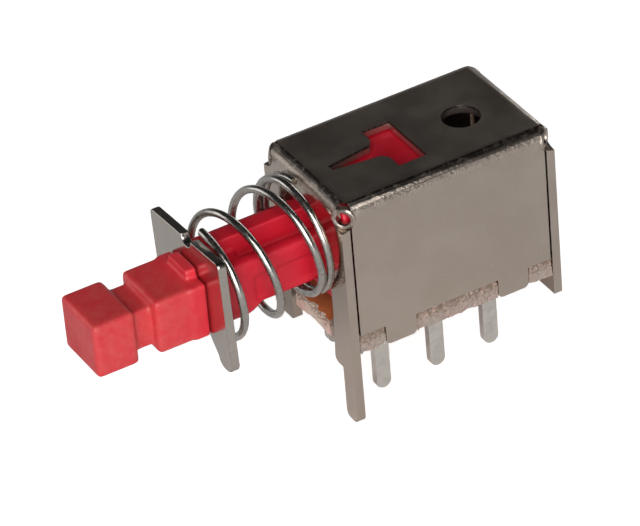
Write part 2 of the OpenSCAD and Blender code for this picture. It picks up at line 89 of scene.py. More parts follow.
class ShaderGraph:
    """A material's node tree, with short calls that add its nodes and join them."""

    LOWER_BEND: Band = (0.56, 0.78, 0.0, 1.0)
    OFF_WALL: Band = (0.955, 0.992, 1.0, 0.0)
    ON_WALL: Band = (0.955, 0.992, 0.0, 0.85)

    def __init__(self, name: str) -> None:
        """Start a material with a Principled surface and nothing joined to it.

        Args:
            name: The material's name.
        """
        self.material = bpy.data.materials.new(name)
        self.material.use_nodes = True
        self.tree = self.material.node_tree
        self.tree.nodes.clear()
        self.surface = self.tree.nodes.new("ShaderNodeBsdfPrincipled")
        self.output = self.tree.nodes.new("ShaderNodeOutputMaterial")
        self.tree.links.new(self.surface.outputs["BSDF"], self.output.inputs["Surface"])
        self.place = self.tree.nodes.new("ShaderNodeTexCoord").outputs["Object"]

    def constants(self, **values: float | Colour) -> None:
        """Set constants on the surface, with underscores for the spaces in their names."""
        for name, value in values.items():
            socket = self.surface.inputs[name.replace("_", " ")]
            colour = socket.type == "RGBA" and isinstance(value, tuple)
            socket.default_value = (*value, 1.0) if colour else value

    def finished(self, colour: Socket, rough: Socket, normal: Socket) -> bpy.types.Material:
        """Join the surface's colour, roughness and normal.

        Args:
            colour: The base colour.
            rough: The roughness.
            normal: The bumped normal.

        Returns:
            The material.
        """
        sources = {"Base Color": colour, "Roughness": rough, "Normal": normal}
        for name, source in sources.items():
            self.tree.links.new(source, self.surface.inputs[name])
        return self.material

    def glow(self, strength: float) -> None:
        """Add white light that only the camera sees, where a strength of 1 is white."""
        nodes, links = self.tree.nodes, self.tree.links
        rays = nodes.new("ShaderNodeLightPath")
        white = nodes.new("ShaderNodeEmission")
        both = nodes.new("ShaderNodeAddShader")
        share = nodes.new("ShaderNodeMath")
        share.operation = "MULTIPLY"
        share.inputs[1].default_value = strength
        links.new(rays.outputs["Is Camera Ray"], share.inputs[0])
        links.new(share.outputs[0], white.inputs["Strength"])
        links.new(self.surface.outputs["BSDF"], both.inputs[0])
        links.new(white.outputs["Emission"], both.inputs[1])
        links.new(both.outputs["Shader"], self.output.inputs["Surface"])

    def stretched(self, scale: Triple) -> Socket:
        """Coordinates on the object, scaled along each axis.

        Args:
            scale: The factor along X, Y and Z.

        Returns:
            The scaled coordinates.
        """
        node = self.tree.nodes.new("ShaderNodeMapping")
        node.inputs["Scale"].default_value = scale
        self.tree.links.new(self.place, node.inputs["Vector"])
        return node.outputs["Vector"]

    def speckle(
        self,
        size: float,
        detail: float = 3.0,
        rough: float = 0.5,
        place: Socket | None = None,
    ) -> Socket:
        """Noise whose grains are about the given size.

        Args:
            size: Size of a grain in metres.
            detail: How many finer layers lie over it.
            rough: Strength of the finer layers.
            place: Coordinates to read, or None for the object's own.

        Returns:
            The noise, about 0 to 1.
        """
        node = self.tree.nodes.new("ShaderNodeTexNoise")
        node.inputs["Scale"].default_value = 0.5 / size
        node.inputs["Detail"].default_value = detail
        node.inputs["Roughness"].default_value = rough
        self.tree.links.new(place or self.place, node.inputs["Vector"])
        return node.outputs["Fac"]

    def span(
        self, source: Socket, low: float, high: float, to_low: float, to_high: float
    ) -> Socket:
        """A value moved from one range to another, smoothly and clamped.

        Args:
            source: The value.
            low: Value that becomes to_low.
            high: Value that becomes to_high.
            to_low: Result at low.
            to_high: Result at high.

        Returns:
            The moved value.
        """
        node = self.tree.nodes.new("ShaderNodeMapRange")
        node.interpolation_type = "SMOOTHSTEP"
        ends = {"From Min": low, "From Max": high, "To Min": to_low, "To Max": to_high}
        for name, value in ends.items():
            node.inputs[name].default_value = value
        self.tree.links.new(source, node.inputs["Value"])
        return node.outputs["Result"]

    def blend(self, share: Socket, under: Socket | Colour, over: Socket | Colour) -> Socket:
        """One colour laid over another.

        Args:
            share: How much of the upper colour shows.
            under: The lower colour.
            over: The upper colour.

        Returns:
            The mixed colour.
        """
        node = self.tree.nodes.new("ShaderNodeMix")
        node.data_type = "RGBA"
        self.tree.links.new(share, node.inputs["Factor"])
        for socket, value in ((node.inputs[6], under), (node.inputs[7], over)):
            if isinstance(value, tuple):
                socket.default_value = (*value, 1.0)
            else:
                self.tree.links.new(value, socket)
        return node.outputs[2]

    def mean(self, share: Socket, under: Socket, over: float) -> Socket:
        """A value moved part of the way to a number.

        Args:
            share: How far it moves, 0 to 1.
            under: The value.
            over: The number.

        Returns:
            The moved value.
        """
        node = self.tree.nodes.new("ShaderNodeMix")
        self.tree.links.new(share, node.inputs["Factor"])
        self.tree.links.new(under, node.inputs["A"])
        node.inputs["B"].default_value = over
        return node.outputs["Result"]

    def combine(self, first: Socket, second: Socket, how: str = "MULTIPLY") -> Socket:
        """Two values joined by arithmetic.

        Args:
            first: The first value.
            second: The second value.
            how: The Math node's operation.

        Returns:
            The result.
        """
        node = self.tree.nodes.new("ShaderNodeMath")
        node.operation = how
        self.tree.links.new(first, node.inputs[0])
        self.tree.links.new(second, node.inputs[1])
        return node.outputs[0]

    def relief(
        self,
        height: Socket,
        depth: float,
        strength: Socket | float = 1.0,
        under: Socket | None = None,
    ) -> Socket:
        """A bumped normal.

        Args:
            height: The height, 0 to 1.
            depth: What a height of 1 is, in metres.
            strength: How much of it shows.
            under: A normal that it is added to.

        Returns:
            The normal.
        """
        node = self.tree.nodes.new("ShaderNodeBump")
        if isinstance(strength, float):
            node.inputs["Strength"].default_value = strength
        else:
            self.tree.links.new(strength, node.inputs["Strength"])
        node.inputs["Distance"].default_value = depth
        self.tree.links.new(height, node.inputs["Height"])
        if under is not None:
            self.tree.links.new(under, node.inputs["Normal"])
        return node.outputs["Normal"]

    def facing(self) -> tuple[Socket, ...]:
        """How far the surface faces along X, Y and Z, each from 0 to 1."""
        node = self.tree.nodes.new("ShaderNodeVectorMath")
        node.operation = "ABSOLUTE"
        normal = self.tree.nodes.new("ShaderNodeNewGeometry").outputs["Normal"]
        self.tree.links.new(normal, node.inputs[0])
        split = self.tree.nodes.new("ShaderNodeSeparateXYZ")
        self.tree.links.new(node.outputs["Vector"], split.inputs["Vector"])
        return tuple(split.outputs)

    def placed(self, axis: str) -> Socket:
        """Place along an axis of the row frame, in metres."""
        split = self.tree.nodes.new("ShaderNodeSeparateXYZ")
        self.tree.links.new(self.place, split.inputs["Vector"])
        return split.outputs[axis]

    def outward(self) -> Socket:
        """How far the surface faces out of the case's walls: 0 on the top, 1 on a wall."""
        along_x, along_y, _ = self.facing()
        return self.combine(along_x, along_y, "MAXIMUM")

    def bent(self, low_z: float, high_z: float) -> Socket:
        """1 on the lower half of a bend below the top, fading out on the wall under it.

        Args:
            low_z: Height at which it has faded out.
            high_z: Height of the bend's lower end.

        Returns:
            The mask.
        """
        outward = self.outward()
        begun = self.span(outward, *self.LOWER_BEND)
        bend = self.combine(begun, self.span(outward, *self.OFF_WALL))
        under = self.combine(
            self.span(self.placed("Z"), low_z, high_z, 0.0, 1.0),
            self.span(outward, *self.ON_WALL),
        )
        return self.combine(bend, under, "MAXIMUM")


# Finishes ----------------------------------------------------------------------------


def darkened(colour: Colour, share: float) -> Colour:
    """A colour darkened to a share of itself."""
    return tuple(share * part for part in colour)


@dataclass(frozen=True)
class Finish:
    """A finish, with the record's slot that it stands for."""

    name: str
    slot: str

    def paint(self) -> bpy.types.Material:
        """Make the material. Each finish has its own."""
        raise NotImplementedError

    def material(self) -> bpy.types.Material:
        """The finish's material, made the first time it is asked for."""
        return bpy.data.materials.get(self.name) or self.paint()


@dataclass(frozen=True)
class PlatedSheet(Finish):
    """Nickel-plated steel sheet: an even satin skin that is glossier on the end walls.

    Where the press has bent the sheet, painted shade lies in a dark ragged band above a bumped
    grain with painted dark speckle.
    Painted glints dot the whole sheet.
    """

    tone: Colour = (0.56, 0.475, 0.405)
    worn: Colour = (0.64, 0.56, 0.49)
    rough: tuple[float, float] = (0.30, 0.38)
    end_rough: float = 0.17
    grain: float = 0.085 * MM
    grain_depth: float = 0.04 * MM
    cloud: float = 1.1 * MM
    fine: float = 0.03 * MM
    fine_depth: float = 0.0012 * MM
    fray: float = 0.16 * MM
    # Size of the painted glints.
    glint_size: float = 0.05 * MM
    # Colour of the painted shade along the upper part of the bends.
    painted_crease_shade: Colour = (0.10, 0.085, 0.075)
    # Colour of the painted glints.
    spark: Colour = (0.85, 0.82, 0.78)
    # How dark the painted speckle of shade on the bends is, as a share of the tone.
    speckle_shade_share: float = 0.55
    flat_grain: float = 0.06
    fade_z: float = 8.66 * MM
    bend_z: float = 8.98 * MM
    worn_band: Band = (0.36, 0.66, 0.0, 0.4)
    speckle_shade_band: Band = (0.52, 0.66, 0.0, 0.75)
    crease_begins: Band = (0.22, 0.45, 0.0, 1.0)
    crease_ends: Band = (0.60, 0.82, 1.0, 0.0)
    fray_band: Band = (0.34, 0.52, 0.25, 1.0)
    glint_band: Band = (0.74, 0.79, 0.0, 0.8)
    end_band: Band = (0.93, 0.99, 0.0, 1.0)

    def paint(self) -> bpy.types.Material:
        """Make the plated sheet.

        Returns:
            The material.
        """
        graph = ShaderGraph(self.name)
        graph.constants(Metallic=1.0)
        clouds = graph.speckle(self.cloud, 5.0, 0.62)
        grain = graph.speckle(self.grain, 3.0, 0.65)
        fine = graph.speckle(self.fine, 2.0, 0.6)
        bent = graph.bent(self.fade_z, self.bend_z)
        tone = graph.blend(graph.span(clouds, *self.worn_band), self.tone, self.worn)
        # Painted shade: the grain is darkened in speckles on the bends.
        painted_speckle_shade = graph.combine(graph.span(grain, *self.speckle_shade_band), bent)
        tone = graph.blend(painted_speckle_shade, tone, darkened(self.tone, self.speckle_shade_share))
        # Painted shade: a dark ragged band along the upper part of each bend, placed by the way
        # the surface faces.
        outward = graph.outward()
        crease = graph.combine(
            graph.span(outward, *self.crease_begins), graph.span(outward, *self.crease_ends)
        )
        ragged = graph.span(graph.speckle(self.fray, 4.0, 0.7), *self.fray_band)
        tone = graph.blend(graph.combine(crease, ragged), tone, self.painted_crease_shade)
        # Painted glints: bright specks over the whole sheet.
        painted_glints = graph.span(graph.speckle(self.glint_size, 1.0, 0.4), *self.glint_band)
        satin = graph.span(clouds, 0.3, 0.7, *self.rough)
        ends = graph.span(graph.facing()[1], *self.end_band)
        strength = graph.span(bent, 0.0, 1.0, self.flat_grain, 1.0)
        skin = graph.relief(fine, self.fine_depth, 0.6)
        return graph.finished(
            graph.blend(painted_glints, tone, self.spark),
            graph.mean(ends, satin, self.end_rough),
            graph.relief(grain, self.grain_depth, strength, skin),
        )


@dataclass(frozen=True)
class ShearedEdge(Finish):
    """The wall of a punched opening: painted shade on its upper lip, with lighter tear streaks
    in it, and a burnished land below it.
    """

    # Painted shade: the lip's dark colour, then the lighter colour of the tear streaks in it.
    tone: Colour = (0.045, 0.034, 0.028)
    torn: Colour = (0.13, 0.11, 0.095)
    land: Colour = (0.50, 0.42, 0.38)
    land_z: float = 9.36 * MM
    lip_z: float = 9.43 * MM
    tear: float = 0.07 * MM
    tear_depth: float = 0.006 * MM
    drawn: Triple = (1.0, 1.0, 0.35)
    torn_band: Band = (0.45, 0.72, 0.0, 1.0)
    rough: tuple[float, float] = (0.24, 0.5)

    def paint(self) -> bpy.types.Material:
        """Make the sheared edge, with painted shade on its lip.

        Returns:
            The material.
        """
        graph = ShaderGraph(self.name)
        graph.constants(Metallic=0.92)
        tears = graph.speckle(self.tear, 3.0, 0.65, graph.stretched(self.drawn))
        # Painted shade on the lip above the land, with lighter tear streaks in it.
        lip = graph.span(graph.placed("Z"), self.land_z, self.lip_z, 0.0, 1.0)
        torn = graph.blend(graph.span(tears, *self.torn_band), self.tone, self.torn)
        return graph.finished(
            graph.blend(lip, self.land, torn),
            graph.span(lip, 0.0, 1.0, *self.rough),
            graph.relief(tears, self.tear_depth, 0.5),
        )


@dataclass(frozen=True)
class SpringWire(Finish):
    """Bright drawn wire."""

    tone: Colour = (0.52, 0.495, 0.46)
    rough: tuple[float, float] = (0.16, 0.30)
    streak: float = 0.12 * MM
    streak_depth: float = 0.004 * MM
    dulled: float = 0.78
    dull_band: Band = (0.4, 0.7, 0.0, 0.6)

    def paint(self) -> bpy.types.Material:
        """Make the wire.

        Returns:
            The material.
        """
        graph = ShaderGraph(self.name)
        graph.constants(Metallic=1.0)
        streaks = graph.speckle(self.streak, 3.0, 0.6)
        dull = graph.span(streaks, *self.dull_band)
        return graph.finished(
            graph.blend(dull, self.tone, darkened(self.tone, self.dulled)),
            graph.span(streaks, 0.3, 0.7, *self.rough),
            graph.relief(streaks, self.streak_depth, 0.5),
        )


@dataclass(frozen=True)
class TinPlate(Finish):
    """Matt tin or silver over brass or bronze strip."""

    tone: Colour = (0.78, 0.75, 0.70)
    rough: tuple[float, float] = (0.3, 0.46)
    cloud: float = 0.35 * MM
    fine: float = 0.04 * MM
    fine_depth: float = 0.003 * MM
    dulled: float = 0.8
    dull_band: Band = (0.4, 0.7, 0.0, 0.7)

    def paint(self) -> bpy.types.Material:
        """Make the plated strip.

        Returns:
            The material.
        """
        graph = ShaderGraph(self.name)
        graph.constants(Metallic=1.0)
        clouds = graph.speckle(self.cloud, 4.0, 0.6)
        fine = graph.speckle(self.fine, 2.0, 0.5)
        dull = graph.span(clouds, *self.dull_band)
        return graph.finished(
            graph.blend(dull, self.tone, darkened(self.tone, self.dulled)),
            graph.span(clouds, 0.3, 0.7, *self.rough),
            graph.relief(fine, self.fine_depth, 0.5),
        )


@dataclass(frozen=True)
class MouldedAcetal(Finish):
    """Satin moulded plastic with a faint flow pattern and a fine spark-eroded skin."""

    tone: Colour = (0.62, 0.009, 0.028)
    deep: Colour = (0.55, 0.004, 0.020)
    # A paler red for scuffs and dust, and partly painted sheen, laid on outside the case
    # towards the button's end.
    scuff_and_sheen: Colour = (0.62, 0.100, 0.085)
    rough: tuple[float, float] = (0.40, 0.52)
    flow: float = 1.3 * MM
    skin: float = 0.06 * MM
    skin_depth: float = 0.004 * MM
    scuff: float = 0.22 * MM
    flow_band: Band = (0.35, 0.7, 0.0, 1.0)
    scuff_band: Band = (0.30, 0.70, 0.22, 0.62)
    scuff_sheen_from_y: float = -10.5 * MM
    scuff_sheen_full_y: float = -13.5 * MM

    def paint(self) -> bpy.types.Material:
        """Make the plastic.

        Returns:
            The material.
        """
        graph = ShaderGraph(self.name)
        graph.constants(
            Subsurface_Weight=0.12,
            Subsurface_Scale=0.35 * MM,
            Subsurface_Radius=(1.0, 0.25, 0.2),
            Specular_IOR_Level=0.55,
        )
        flow = graph.speckle(self.flow, 3.0, 0.5)
        skin = graph.speckle(self.skin, 3.0, 0.6)
        body = graph.blend(graph.span(flow, *self.flow_band), self.tone, self.deep)
        scuffs = graph.speckle(self.scuff, 5.0, 0.7)
        # Scuffs and dust, partly painted sheen: the paler red grows from inside the case
        # towards the button's end.
        scuff_and_sheen_mask = graph.combine(
            graph.span(scuffs, *self.scuff_band),
            graph.span(graph.placed("Y"), self.scuff_sheen_from_y, self.scuff_sheen_full_y, 0.0, 1.0),
        )
        return graph.finished(
            graph.blend(scuff_and_sheen_mask, body, self.scuff_and_sheen),
            graph.span(flow, 0.3, 0.7, *self.rough),
            graph.relief(skin, self.skin_depth, 0.5),
        )


@dataclass(frozen=True)
class PhenolicPaper(Finish):
    """Resin-bonded paper: a smooth brown face and a pale fibrous cut edge."""

    face: Colour = (0.52, 0.17, 0.06)
    face_deep: Colour = (0.42, 0.125, 0.045)
    fibre: Colour = (0.60, 0.475, 0.40)
    fibre_pink: Colour = (0.62, 0.40, 0.34)
    # Dark brown on the upper part of the cut walls: chipped paper, and partly painted shade
    # under the edge of the case.
    chips_and_shade: Colour = (0.17, 0.115, 0.08)
    # A darker grey that the cut walls facing along X take.
    x_wall_grey: Colour = (0.235, 0.20, 0.175)
    mottle: float = 0.5 * MM
    layer: float = 0.10 * MM
    layer_depth: float = 0.03 * MM
    pressed: Triple = (1.0, 1.0, 2.2)
    low_z: float = 1.12 * MM
    top_z: float = 2.12 * MM
    face_band: Band = (0.35, 0.7, 0.0, 1.0)
    fibre_band: Band = (0.42, 0.62, 0.0, 1.0)
    side_band: Band = (0.6, 0.9, 0.0, 0.72)
    chip_and_shade_band: Band = (0.50, 0.64, 0.0, 0.75)
    flat_band: Band = (0.8, 0.95, 0.0, 1.0)
    gloss_band: Band = (0.7, 0.9, 0.85, 0.38)

    def paint(self) -> bpy.types.Material:
        """Make the board.

        Returns:
            The material.
        """
        graph = ShaderGraph(self.name)
        graph.constants(Specular_IOR_Level=0.4)
        mottle = graph.speckle(self.mottle, 4.0, 0.6)
        layers = graph.speckle(self.layer, 4.0, 0.65, graph.stretched(self.pressed))
        face = graph.blend(graph.span(mottle, *self.face_band), self.face, self.face_deep)
        edge = graph.blend(graph.span(mottle, *self.fibre_band), self.fibre, self.fibre_pink)
        # Chips and painted shade under the case: the cut walls turn darker brown towards their
        # upper face.
        upper = graph.span(graph.placed("Z"), self.low_z, self.top_z, -0.12, 0.16)
        worn = graph.combine(layers, upper, "ADD")
        along_x, _, flat = graph.facing()
        # The cut walls that face along X turn darker and greyer.
        edge = graph.blend(graph.span(along_x, *self.side_band), edge, self.x_wall_grey)
        edge = graph.blend(graph.span(worn, *self.chip_and_shade_band), edge, self.chips_and_shade)
        return graph.finished(
            graph.blend(graph.span(flat, *self.flat_band), edge, face),
            graph.span(flat, *self.gloss_band),
            graph.relief(layers, self.layer_depth, 0.6),
        )


CASE_STEEL = PlatedSheet("satin_nickel_sheet", "case_steel")
SHADED_LIP_STEEL = ShearedEdge("sheared_steel_painted_shade", "case_steel")
RETAINER_STEEL = PlatedSheet(
    "bright_nickel_plate",
    "retainer_steel",
    (0.55, 0.50, 0.45),
    (0.64, 0.59, 0.54),
    (0.20, 0.28),
    grain_depth=0.012 * MM,
)
RETURN_WIRE = SpringWire("bright_spring_wire", "spring_wire")
CONTACT_WIRE = SpringWire("fine_spring_wire", "contact_spring_wire", (0.66, 0.64, 0.61))
TERMINAL_PLATE = TinPlate("matt_tin_plate", "terminal_plate")
CONTACT_SILVER = TinPlate("silvered_bronze", "contact_silver", (0.82, 0.79, 0.72), (0.2, 0.34))
RED_ACETAL = MouldedAcetal("red_moulded_acetal", "plunger_red")
BOARD_PAPER = PhenolicPaper("phenolic_paper_board", "board_phenolic")


# Pieces ------------------------------------------------------------------------------


def held_object(shape: bmesh.types.BMesh, name: str) -> bpy.types.Object:
    """An object that holds a shape while modifiers work on it.

    Args:
        shape: The shape, which is used up.
        name: The object's name.

    Returns:
        The object, in the scene.
    """
    mesh = bpy.data.meshes.new(name)
    shape.to_mesh(mesh)
    shape.free()
    obj = bpy.data.objects.new(name, mesh)
    bpy.context.scene.collection.objects.link(obj)
    return obj


def plain_mesh(obj: bpy.types.Object, name: str) -> bpy.types.Mesh:
    """Turn an object with modifiers into a plain mesh and remove the object.

    Args:
        obj: The object.
        name: Name of the new mesh.

    Returns:
        The mesh as its modifiers leave it.
    """
    bpy.context.view_layer.update()
    graph = bpy.context.evaluated_depsgraph_get()
    mesh = bpy.data.meshes.new_from_object(obj.evaluated_get(graph), depsgraph=graph)
    mesh.name = name
    bpy.data.objects.remove(obj)
    return mesh


def add_piece(
    name: str, mesh: bpy.types.Mesh, finish: Finish, body: Body, *nodes: str
) -> bpy.types.Object:
    """Put a finished mesh in the scene as a piece of the switch.

    Args:
        name: The piece's name.
        mesh: Its mesh, in the row frame.
        finish: Its finish.
        body: The body that it rides on.
        *nodes: The solids that it stands for.

    Returns:
        The piece.
    """
    mesh.materials.clear()
    mesh.materials.append(finish.material())
    obj = bpy.data.objects.new(name, mesh)
    bpy.context.scene.collection.objects.link(obj)
    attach(obj, body.value)
    if nodes:
        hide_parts(*nodes)
    LOG.info("%s: %d faces on %s", name, len(mesh.polygons), body.value)
    return obj


def merged_copy(node: bpy.types.Object) -> bmesh.types.BMesh:
    """A solid's triangles joined into a closed mesh of flat faces.

    Args:
        node: The solid.

    Returns:
        The joined mesh.
    """
    shape = bmesh.new()
    shape.from_mesh(node.data)
    bmesh.ops.remove_doubles(shape, verts=shape.verts, dist=MERGE_WITHIN)
    bmesh.ops.dissolve_limit(
        shape, angle_limit=FLAT_WITHIN, verts=shape.verts, edges=shape.edges
    )
    return shape


def levelled(obj: bpy.types.Object, weight: int) -> None:
    """Shade an object's large faces flat.

    Args:
        obj: The object.
        weight: How much more a large face counts than a small one.
    """
    level = obj.modifiers.new("level", "WEIGHTED_NORMAL")
    level.mode = "FACE_AREA"
    level.weight = weight


def eased_mesh(shape: bmesh.types.BMesh, name: str, radius: float) -> bpy.types.Mesh:
    """A mesh with its sharp edges rounded and its flats shaded flat.

    Args:
        shape: The shape, which is used up.
        name: Name of the new mesh.
        radius: Size of the rounding, in metres.

    Returns:
        The rounded mesh.
    """
    obj = held_object(shape, name + "_source")
    obj.data.shade_smooth()
    bevel = obj.modifiers.new("ease", "BEVEL")
    bevel.width = radius
    bevel.segments = 2
    bevel.limit_method = "ANGLE"
    bevel.angle_limit = math.radians(28)
    bevel.use_clamp_overlap = True
    levelled(obj, 90)
    return plain_mesh(obj, name)


def softened_mesh(
    node: bpy.types.Object, name: str, grain: float, passes: int
) -> bpy.types.Mesh:
    """A copy of a solid with every edge rounded off, as a moulding's are.

    Args:
        node: The solid.
        name: Name of the new mesh.
        grain: Spacing of the points that the rounding works on, in metres.
        passes: How often they are smoothed, which sets how round the edges get.

    Returns:
        The rounded mesh, with few faces on its flats.
    """
    obj = held_object(merged_copy(node), name + "_source")
    even = obj.modifiers.new("even", "REMESH")
    even.mode = "VOXEL"
    even.voxel_size = grain
    even.use_smooth_shade = True
    soft = obj.modifiers.new("soft", "SMOOTH")
    soft.factor = 0.5
    soft.iterations = passes
    thin = obj.modifiers.new("thin", "DECIMATE")
    thin.decimate_type = "DISSOLVE"
    thin.angle_limit = math.radians(1.2)
    levelled(obj, 80)
    mesh = plain_mesh(obj, name)
    mesh.shade_smooth()
    return mesh


class CoilTree:
    """The node tree that winds a round wire into a compression spring."""

    SECTION = 16
    INPUTS: dict[str, tuple[str, object]] = {
        "First Turns": ("NodeSocketFloat", 0.5),
        "Open Turns": ("NodeSocketFloat", 2.0),
        "Last Turns": ("NodeSocketFloat", 1.0),
        "First Pitch": ("NodeSocketFloat", 0.0004),
        "Open Pitch": ("NodeSocketFloat", 0.002),
        "Last Pitch": ("NodeSocketFloat", 0.0004),
        "Radius": ("NodeSocketFloat", 0.003),
        "Wire": ("NodeSocketFloat", 0.0004),
        "Shift X": ("NodeSocketFloat", 0.0),
        "Shift Y": ("NodeSocketFloat", 0.0),
        "Skew X": ("NodeSocketFloat", 0.0),
        "Skew Y": ("NodeSocketFloat", 0.0),
        "Steps Per Turn": ("NodeSocketInt", 64),
        "Place": ("NodeSocketVector", (0.0, 0.0, 0.0)),
        "Turned": ("NodeSocketRotation", (0.0, 0.0, 0.0)),
        "Finish": ("NodeSocketMaterial", None),
    }

    def __init__(self) -> None:
        """Build the tree, with a named input for each size of the spring."""
        self.tree = bpy.data.node_groups.new("wound_wire", "GeometryNodeTree")
        face = self.tree.interface
        face.new_socket("Geometry", in_out="INPUT", socket_type="NodeSocketGeometry")
        self.keys: dict[str, str] = {}
        for name, (kind, value) in self.INPUTS.items():
            socket = face.new_socket(name, in_out="INPUT", socket_type=kind)
            if value is not None:
                socket.default_value = value
            self.keys[name] = socket.identifier
        face.new_socket("Geometry", in_out="OUTPUT", socket_type="NodeSocketGeometry")
        self.given = self.tree.nodes.new("NodeGroupInput").outputs
        self._wind()

    def _feed(self, target: Socket, value: object) -> None:
        """Join a socket to an input, or set the input's value."""
        if isinstance(value, Socket):
            self.tree.links.new(value, target)
        else:
            target.default_value = value

    def _math(self, how: str, *values: object) -> Socket:
        """Add a Math node on sockets or numbers.

        Args:
            how: The operation.
            *values: Its inputs.

        Returns:
            The result.
        """
        node = self.tree.nodes.new("ShaderNodeMath")
        node.operation = how
        for socket, value in zip(node.inputs, values):
            self._feed(socket, value)
        return node.outputs[0]

    def _add(self, kind: str, shape: Socket | None = None, **values: object) -> Socket:
        """Add a node and feed it.

        Args:
            kind: The node's type.
            shape: Geometry for its first input.
            **values: Its other inputs, with underscores for spaces.

        Returns:
            Its first output.
        """
        node = self.tree.nodes.new(kind)
        if shape is not None:
            self._feed(node.inputs[0], shape)
        for name, value in values.items():
            self._feed(node.inputs[name.replace("_", " ")], value)
        return node.outputs[0]

    def _coil(self) -> tuple[Socket, Socket]:
        """How many points the coil has, and where each of them lies."""
        given, sums = self.given, self._math
        steps = given["Steps Per Turn"]
        early = sums("ADD", given["First Turns"], given["Open Turns"])
        turns = sums("ADD", early, given["Last Turns"])
        count = sums("ADD", sums("MULTIPLY", turns, steps), 1.0)
        turn = sums("DIVIDE", self._add("GeometryNodeInputIndex"), steps)
        angle = sums("MULTIPLY", turn, math.tau)
        across = sums("MULTIPLY", sums("SINE", angle), given["Radius"])
        up = sums("MULTIPLY", sums("COSINE", angle), given["Radius"])
        past = sums("MAXIMUM", sums("SUBTRACT", turn, given["First Turns"]), 0.0)
        opened = sums("MINIMUM", past, given["Open Turns"])
        rise = sums(
            "ADD",
            sums("MULTIPLY", sums("MINIMUM", turn, given["First Turns"]), given["First Pitch"]),
            sums(
                "ADD",
                sums("MULTIPLY", opened, given["Open Pitch"]),
                sums("MULTIPLY", sums("SUBTRACT", past, opened), given["Last Pitch"]),
            ),
        )
        share = sums("DIVIDE", opened, given["Open Turns"])
        skewed = sums(
            "ADD",
            sums("MULTIPLY", across, given["Skew X"]),
            sums("MULTIPLY", up, given["Skew Y"]),
        )
        lifted = sums("ADD", up, sums("MULTIPLY", share, given["Shift Y"]))
        place = self._add(
            "ShaderNodeCombineXYZ",
            X=sums("ADD", across, sums("MULTIPLY", share, given["Shift X"])),
            Y=sums("MULTIPLY", lifted, -1.0),
            Z=sums("ADD", rise, skewed),
        )
        return count, place

    def _wind(self) -> None:
        """Join the nodes: a line of points, moved onto the coil, with the wire round it."""
        count, place = self._coil()
        line = self._add("GeometryNodeMeshLine", Count=count)
        wound = self._add("GeometryNodeSetPosition", line, Position=place)
        path = self._add("GeometryNodeMeshToCurve", wound)
        half = self._math("MULTIPLY", self.given["Wire"], 0.5)
        section = self._add(
            "GeometryNodeCurvePrimitiveCircle", Resolution=self.SECTION, Radius=half
        )
        wire = self._add(
            "GeometryNodeCurveToMesh", path, Profile_Curve=section, Fill_Caps=True
        )
        smooth = self._add("GeometryNodeSetShadeSmooth", wire)
        placed = self._add(
            "GeometryNodeTransform",
            smooth,
            Translation=self.given["Place"],
            Rotation=self.given["Turned"],
        )
        real = self._add("GeometryNodeRealizeInstances", placed)
        dressed = self._add("GeometryNodeSetMaterial", real, Material=self.given["Finish"])
        output = self.tree.nodes.new("NodeGroupOutput")
        self._feed(output.inputs["Geometry"], dressed)

    def wind(self, name: str, finish: Finish, **sizes: object) -> bpy.types.Mesh:
        """Make a spring's mesh.

        Args:
            name: Name of the mesh.
            finish: The wire's finish.
            **sizes: The tree's inputs, with underscores for spaces.

        Returns:
            The plain mesh, in the row frame.
        """
        obj = bpy.data.objects.new(name, bpy.data.meshes.new(name + "_base"))
        bpy.context.scene.collection.objects.link(obj)
        modifier = obj.modifiers.new("wind", "NODES")
        modifier.node_group = self.tree
        modifier[self.keys["Finish"]] = finish.material()
        for key, value in sizes.items():
            modifier[self.keys[key.replace("_", " ")]] = value
        return plain_mesh(obj, name)


